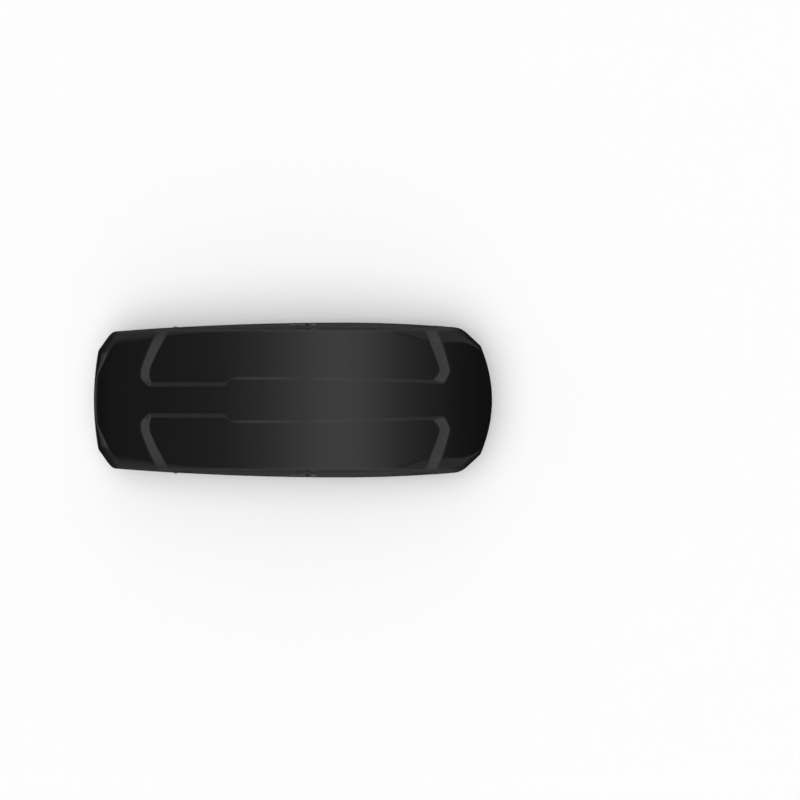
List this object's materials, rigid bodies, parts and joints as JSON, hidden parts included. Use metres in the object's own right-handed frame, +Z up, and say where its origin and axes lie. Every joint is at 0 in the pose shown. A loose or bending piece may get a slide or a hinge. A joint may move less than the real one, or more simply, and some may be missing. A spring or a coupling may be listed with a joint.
{
  "type": "roof box",
  "caption": "Long hard-shell roof box with a sculpted lid that opens from either side, sliding latches, lid lifters and crossbar clamps.",
  "frame": {"origin": "under the middle of the box, level with the lowest point of the crossbar clamps", "axes": "+X towards the nose, +Y to the car's left, +Z up"},
  "size_m": [2.3, 0.8954, 0.4429],
  "materials": {
    "gloss_black": "high gloss",
    "rail_black": "gloss",
    "tray_black": "fine grain",
    "trim_black": "satin",
    "grip_grey": "satin",
    "knob_grey": "fine grain",
    "jaw_grey": "glass filled",
    "tube_black": "satin paint",
    "steel": "zinc plated",
    "aluminium": "mill",
    "rubber": "matte"
  },
  "bodies": {
    "base": {"base_shell": "tray_black", "seal_rear": "rubber", "seal_front": "rubber", "floor_rail_left": "aluminium", "floor_rail_right": "aluminium", "catch_rear_left": "steel", "catch_middle_left": "steel", "catch_front_left": "steel", "clamp_housing_rear_left": "trim_black", "clamp_housing_front_left": "trim_black", "catch_rear_right": "steel", "catch_middle_right": "steel", "catch_front_right": "steel", "clamp_housing_rear_right": "trim_black", "clamp_housing_front_right": "trim_black"},
    "left_rail": {"side_rail_left": "rail_black", "lock_case_left": "grip_grey", "hinge_pin_rear_left": "steel", "hinge_pin_front_left": "steel"},
    "lid": {"lid_shell": "gloss_black", "lid_bow_rear": "trim_black", "lid_bow_front": "trim_black", "hinge_arm_rear_left": "trim_black", "hinge_arm_front_left": "trim_black", "strut_bracket_rear_left": "steel", "strut_bracket_front_left": "steel", "hinge_arm_rear_right": "trim_black", "hinge_arm_front_right": "trim_black", "strut_bracket_rear_right": "steel", "strut_bracket_front_right": "steel"},
    "right_rail": {"side_rail_right": "rail_black", "lock_case_right": "grip_grey", "hinge_pin_rear_right": "steel", "hinge_pin_front_right": "steel"},
    "latch_left": {"latch_bar_left": "steel", "grip_left": "grip_grey"},
    "key_left": {"key_plug_left": "steel"},
    "strut_tube_rear_left": {"strut_tube_rear_left": "tube_black"},
    "strut_rod_rear_left": {"strut_rod_rear_left": "steel"},
    "knob_rear_left": {"clamp_knob_rear_left": "knob_grey"},
    "front_jaw_rear_left": {"jaw_front_rear_left": "jaw_grey"},
    "rear_jaw_rear_left": {"jaw_rear_rear_left": "jaw_grey"},
    "strut_tube_front_left": {"strut_tube_front_left": "tube_black"},
    "strut_rod_front_left": {"strut_rod_front_left": "steel"},
    "knob_front_left": {"clamp_knob_front_left": "knob_grey"},
    "front_jaw_front_left": {"jaw_front_front_left": "jaw_grey"},
    "rear_jaw_front_left": {"jaw_rear_front_left": "jaw_grey"},
    "latch_right": {"latch_bar_right": "steel", "grip_right": "grip_grey"},
    "key_right": {"key_plug_right": "steel"},
    "strut_tube_rear_right": {"strut_tube_rear_right": "tube_black"},
    "strut_rod_rear_right": {"strut_rod_rear_right": "steel"},
    "knob_rear_right": {"clamp_knob_rear_right": "knob_grey"},
    "front_jaw_rear_right": {"jaw_front_rear_right": "jaw_grey"},
    "rear_jaw_rear_right": {"jaw_rear_rear_right": "jaw_grey"},
    "strut_tube_front_right": {"strut_tube_front_right": "tube_black"},
    "strut_rod_front_right": {"strut_rod_front_right": "steel"},
    "knob_front_right": {"clamp_knob_front_right": "knob_grey"},
    "front_jaw_front_right": {"jaw_front_front_right": "jaw_grey"},
    "rear_jaw_front_right": {"jaw_rear_front_right": "jaw_grey"}
  },
  "joints": [
    {"name": "lid_open_left", "type": "hinge", "parent": "base", "child": "left_rail", "pos_m": [0, -0.418, 0.189], "axis": [1, 0, 0], "range_deg": [0, 55]},
    {"name": "lid_open_right", "type": "hinge", "parent": "left_rail", "child": "lid", "pos_m": [0, 0.418, 0.189], "axis": [-1, 0, 0], "range_deg": [0, 55]},
    {"name": "right_rail_stay", "type": "hinge", "parent": "lid", "child": "right_rail", "pos_m": [0, -0.418, 0.189], "axis": [1, 0, 0], "range_deg": [-55, 0]},
    {"name": "latch_slide_left", "type": "slide", "parent": "left_rail", "child": "latch_left", "axis": [1, 0, 0], "range_m": [0, 0.014]},
    {"name": "key_turn_left", "type": "hinge", "parent": "left_rail", "child": "key_left", "pos_m": [0.121, 0.43399, 0.231], "axis": [0, 0.8798, 0.4754], "range_deg": [0, 90]},
    {"name": "strut_swing_rear_left", "type": "hinge", "parent": "left_rail", "child": "strut_tube_rear_left", "pos_m": [-0.25, 0.343, 0.15], "axis": [-1, 0, 0], "range_deg": [0, 51.87]},
    {"name": "strut_stroke_rear_left", "type": "slide", "parent": "strut_tube_rear_left", "child": "strut_rod_rear_left", "axis": [0, -0.642, 0.7667], "range_m": [0, 0.07648]},
    {"name": "strut_swing_front_left", "type": "hinge", "parent": "left_rail", "child": "strut_tube_front_left", "pos_m": [0.45, 0.343, 0.15], "axis": [-1, 0, 0], "range_deg": [0, 51.87]},
    {"name": "strut_stroke_front_left", "type": "slide", "parent": "strut_tube_front_left", "child": "strut_rod_front_left", "axis": [0, -0.642, 0.7667], "range_m": [0, 0.07648]},
    {"name": "knob_turn_rear_left", "type": "hinge", "parent": "base", "child": "knob_rear_left", "pos_m": [-0.31, 0.2, 0.0925], "axis": [0, 0, 1], "range_deg": [0, 1080]},
    {"name": "front_jaw_rear_left", "type": "hinge", "parent": "base", "child": "front_jaw_rear_left", "pos_m": [-0.252, 0.2, 0.07], "axis": [0, -1, 0], "range_deg": [0, 18]},
    {"name": "rear_jaw_rear_left", "type": "hinge", "parent": "base", "child": "rear_jaw_rear_left", "pos_m": [-0.368, 0.2, 0.07], "axis": [0, 1, 0], "range_deg": [0, 18]},
    {"name": "knob_turn_front_left", "type": "hinge", "parent": "base", "child": "knob_front_left", "pos_m": [0.38, 0.2, 0.0925], "axis": [0, 0, 1], "range_deg": [0, 1080]},
    {"name": "front_jaw_front_left", "type": "hinge", "parent": "base", "child": "front_jaw_front_left", "pos_m": [0.438, 0.2, 0.07], "axis": [0, -1, 0], "range_deg": [0, 18]},
    {"name": "rear_jaw_front_left", "type": "hinge", "parent": "base", "child": "rear_jaw_front_left", "pos_m": [0.322, 0.2, 0.07], "axis": [0, 1, 0], "range_deg": [0, 18]},
    {"name": "latch_slide_right", "type": "slide", "parent": "right_rail", "child": "latch_right", "axis": [1, 0, 0], "range_m": [0, 0.014]},
    {"name": "key_turn_right", "type": "hinge", "parent": "right_rail", "child": "key_right", "pos_m": [0.121, -0.43399, 0.231], "axis": [0, -0.8798, 0.4754], "range_deg": [0, 90]},
    {"name": "strut_swing_rear_right", "type": "hinge", "parent": "right_rail", "child": "strut_tube_rear_right", "pos_m": [-0.25, -0.343, 0.15], "axis": [1, 0, 0], "range_deg": [0, 51.87]},
    {"name": "strut_stroke_rear_right", "type": "slide", "parent": "strut_tube_rear_right", "child": "strut_rod_rear_right", "axis": [0, 0.642, 0.7667], "range_m": [0, 0.07648]},
    {"name": "strut_swing_front_right", "type": "hinge", "parent": "right_rail", "child": "strut_tube_front_right", "pos_m": [0.45, -0.343, 0.15], "axis": [1, 0, 0], "range_deg": [0, 51.87]},
    {"name": "strut_stroke_front_right", "type": "slide", "parent": "strut_tube_front_right", "child": "strut_rod_front_right", "axis": [0, 0.642, 0.7667], "range_m": [0, 0.07648]},
    {"name": "knob_turn_rear_right", "type": "hinge", "parent": "base", "child": "knob_rear_right", "pos_m": [-0.31, -0.2, 0.0925], "axis": [0, 0, 1], "range_deg": [0, 1080]},
    {"name": "front_jaw_rear_right", "type": "hinge", "parent": "base", "child": "front_jaw_rear_right", "pos_m": [-0.252, -0.2, 0.07], "axis": [0, -1, 0], "range_deg": [0, 18]},
    {"name": "rear_jaw_rear_right", "type": "hinge", "parent": "base", "child": "rear_jaw_rear_right", "pos_m": [-0.368, -0.2, 0.07], "axis": [0, 1, 0], "range_deg": [0, 18]},
    {"name": "knob_turn_front_right", "type": "hinge", "parent": "base", "child": "knob_front_right", "pos_m": [0.38, -0.2, 0.0925], "axis": [0, 0, 1], "range_deg": [0, 1080]},
    {"name": "front_jaw_front_right", "type": "hinge", "parent": "base", "child": "front_jaw_front_right", "pos_m": [0.438, -0.2, 0.07], "axis": [0, -1, 0], "range_deg": [0, 18]},
    {"name": "rear_jaw_front_right", "type": "hinge", "parent": "base", "child": "rear_jaw_front_right", "pos_m": [0.322, -0.2, 0.07], "axis": [0, 1, 0], "range_deg": [0, 18]}
  ],
  "couplings": [
    {"joint": "right_rail_stay", "follows": "lid_open_left", "ratio": -1},
    {"joint": "strut_swing_rear_left", "follows": "lid_open_right", "ratio": 0.93945},
    {"joint": "strut_stroke_rear_left", "follows": "lid_open_right", "m_per_rad": 0.079155},
    {"joint": "strut_swing_front_left", "follows": "lid_open_right", "ratio": 0.93945},
    {"joint": "strut_stroke_front_left", "follows": "lid_open_right", "m_per_rad": 0.079155},
    {"joint": "front_jaw_rear_left", "follows": "knob_turn_rear_left", "ratio": 0.016667},
    {"joint": "rear_jaw_rear_left", "follows": "knob_turn_rear_left", "ratio": 0.016667},
    {"joint": "front_jaw_front_left", "follows": "knob_turn_front_left", "ratio": 0.016667},
    {"joint": "rear_jaw_front_left", "follows": "knob_turn_front_left", "ratio": 0.016667},
    {"joint": "strut_swing_rear_right", "follows": "lid_open_left", "ratio": 0.93945},
    {"joint": "strut_stroke_rear_right", "follows": "lid_open_left", "m_per_rad": 0.079155},
    {"joint": "strut_swing_front_right", "follows": "lid_open_left", "ratio": 0.93945},
    {"joint": "strut_stroke_front_right", "follows": "lid_open_left", "m_per_rad": 0.079155},
    {"joint": "front_jaw_rear_right", "follows": "knob_turn_rear_right", "ratio": 0.016667},
    {"joint": "rear_jaw_rear_right", "follows": "knob_turn_rear_right", "ratio": 0.016667},
    {"joint": "front_jaw_front_right", "follows": "knob_turn_front_right", "ratio": 0.016667},
    {"joint": "rear_jaw_front_right", "follows": "knob_turn_front_right", "ratio": 0.016667}
  ]
}
